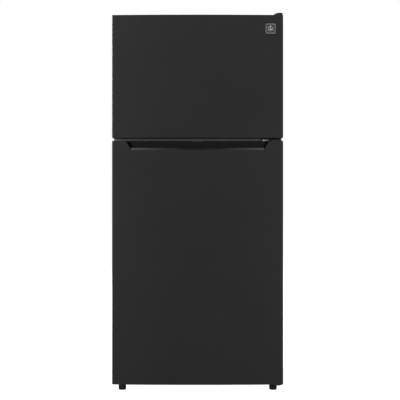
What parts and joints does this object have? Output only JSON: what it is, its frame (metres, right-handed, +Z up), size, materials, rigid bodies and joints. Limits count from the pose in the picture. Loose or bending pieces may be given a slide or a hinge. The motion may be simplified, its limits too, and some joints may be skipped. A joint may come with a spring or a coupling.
{
  "type": "top freezer refrigerator",
  "caption": "Freestanding top freezer refrigerator with right-hinged crowned doors, pocket handle, shelves, crispers and door bins.",
  "frame": {"origin": "on the floor, in the middle of the whole object's width and depth", "axes": "+Z up, -Y out of the front of the doors, +X to the right as seen from the front"},
  "size_m": [0.756, 0.73, 1.682],
  "materials": {
    "door_steel": "satin black coated steel",
    "cabinet_steel": "fine textured black paint",
    "black_steel": "black coated steel",
    "zinc_steel": "bare zinc coated sheet",
    "aluminium": "mill finish",
    "badge_metal": "satin silver",
    "gloss_black": "moulded gloss black",
    "matte_black": "moulded satin black",
    "gasket_rubber": "soft dark grey",
    "liner_white": "formed white plastic",
    "trim_white": "moulded white plastic",
    "clear_plastic": "clear moulded plastic",
    "shelf_glass": "clear tempered glass",
    "foam": "rigid insulating foam"
  },
  "bodies": {
    "cabinet": {"air_duct": "trim_white", "back_panel": "zinc_steel", "base_frame": "black_steel", "bottom_hinge": "black_steel", "cabinet_foam": "foam", "cabinet_shell": "cabinet_steel", "center_hinge": "black_steel", "center_rail": "cabinet_steel", "compressor": "black_steel", "condenser": "black_steel", "condenser_fan_motor": "zinc_steel", "control_housing": "trim_white", "crisper_cover_frame": "trim_white", "crisper_cover_glass": "shelf_glass", "drain_pan": "matte_black", "evaporator_coil": "aluminium", "evaporator_cover": "trim_white", "evaporator_fan_motor": "black_steel", "freezer_liner": "liner_white", "freezer_shelf": "trim_white", "fridge_liner": "liner_white", "lower_shelf_frame": "trim_white", "lower_shelf_glass": "shelf_glass", "machine_cover": "zinc_steel", "top_hinge": "black_steel", "top_hinge_cover": "matte_black", "upper_shelf_frame": "trim_white", "upper_shelf_glass": "shelf_glass"},
    "freezer_door": {"freezer_door_skin": "door_steel", "freezer_door_foam": "foam", "freezer_door_liner": "liner_white", "freezer_door_gasket": "gasket_rubber", "freezer_door_top_cap": "matte_black", "freezer_door_bottom_cap": "matte_black", "freezer_door_bin_upper": "clear_plastic", "freezer_door_bin_lower": "clear_plastic", "badge": "badge_metal"},
    "fridge_door": {"fridge_door_skin": "door_steel", "fridge_door_foam": "foam", "fridge_door_liner": "liner_white", "fridge_door_gasket": "gasket_rubber", "handle_cap": "gloss_black", "fridge_door_bottom_cap": "matte_black", "fridge_door_bin_upper": "clear_plastic", "fridge_door_bin_middle": "clear_plastic", "fridge_door_bin_lower": "clear_plastic", "dairy_box": "trim_white"},
    "dairy_cover": {"dairy_lid": "clear_plastic"},
    "crisper_left": {"crisper_left": "clear_plastic"},
    "crisper_right": {"crisper_right": "clear_plastic"},
    "humidity_left": {"humidity_slider_left": "trim_white"},
    "humidity_right": {"humidity_slider_right": "trim_white"},
    "freezer_knob": {"freezer_control_knob": "trim_white"},
    "fridge_knob": {"fridge_control_knob": "trim_white"},
    "evaporator_fan": {"evaporator_fan": "matte_black"},
    "condenser_fan": {"condenser_fan": "matte_black"},
    "foot_left": {"front_foot_left": "matte_black"},
    "foot_right": {"front_foot_right": "matte_black"},
    "roller_left": {"rear_roller_left": "matte_black"},
    "roller_right": {"rear_roller_right": "matte_black"}
  },
  "joints": [
    {"name": "freezer_door_hinge", "type": "hinge", "parent": "cabinet", "child": "freezer_door", "pos_m": [0.357, -0.33, 1.397], "axis": [0, 0, 1], "range_deg": [0, 135]},
    {"name": "fridge_door_hinge", "type": "hinge", "parent": "cabinet", "child": "fridge_door", "pos_m": [0.357, -0.33, 0.578], "axis": [0, 0, 1], "range_deg": [0, 135]},
    {"name": "dairy_cover_hinge", "type": "hinge", "parent": "fridge_door", "child": "dairy_cover", "pos_m": [0, -0.288, 0.918], "axis": [1, 0, 0], "range_deg": [0, 85]},
    {"name": "crisper_left_slide", "type": "slide", "parent": "cabinet", "child": "crisper_left", "axis": [0, -1, 0], "range_m": [0, 0.105]},
    {"name": "crisper_right_slide", "type": "slide", "parent": "cabinet", "child": "crisper_right", "axis": [0, -1, 0], "range_m": [0, 0.105]},
    {"name": "humidity_left_slide", "type": "slide", "parent": "cabinet", "child": "humidity_left", "axis": [1, 0, 0], "range_m": [0, 0.056]},
    {"name": "humidity_right_slide", "type": "slide", "parent": "cabinet", "child": "humidity_right", "axis": [1, 0, 0], "range_m": [0, 0.056]},
    {"name": "freezer_knob_turn", "type": "hinge", "parent": "cabinet", "child": "freezer_knob", "pos_m": [-0.062, -0.115, 1.059], "axis": [0, 1, 0], "range_deg": [-135, 135]},
    {"name": "fridge_knob_turn", "type": "hinge", "parent": "cabinet", "child": "fridge_knob", "pos_m": [0.062, -0.115, 1.059], "axis": [0, 1, 0], "range_deg": [-135, 135]},
    {"name": "evaporator_fan_spin", "type": "hinge", "parent": "cabinet", "child": "evaporator_fan", "pos_m": [0, 0.256, 1.5], "axis": [0, 1, 0], "continuous": true},
    {"name": "condenser_fan_spin", "type": "hinge", "parent": "cabinet", "child": "condenser_fan", "pos_m": [-0.07, 0.256, 0.145], "axis": [1, 0, 0], "continuous": true},
    {"name": "foot_left_thread", "type": "hinge", "parent": "cabinet", "child": "foot_left", "pos_m": [-0.34, -0.262, 0.03], "axis": [0, 0, 1], "continuous": true},
    {"name": "foot_right_thread", "type": "hinge", "parent": "cabinet", "child": "foot_right", "pos_m": [0.34, -0.262, 0.03], "axis": [0, 0, 1], "continuous": true},
    {"name": "roller_left_spin", "type": "hinge", "parent": "cabinet", "child": "roller_left", "pos_m": [-0.332, 0.318, 0.02], "axis": [1, 0, 0], "continuous": true},
    {"name": "roller_right_spin", "type": "hinge", "parent": "cabinet", "child": "roller_right", "pos_m": [0.332, 0.318, 0.02], "axis": [1, 0, 0], "continuous": true}
  ]
}
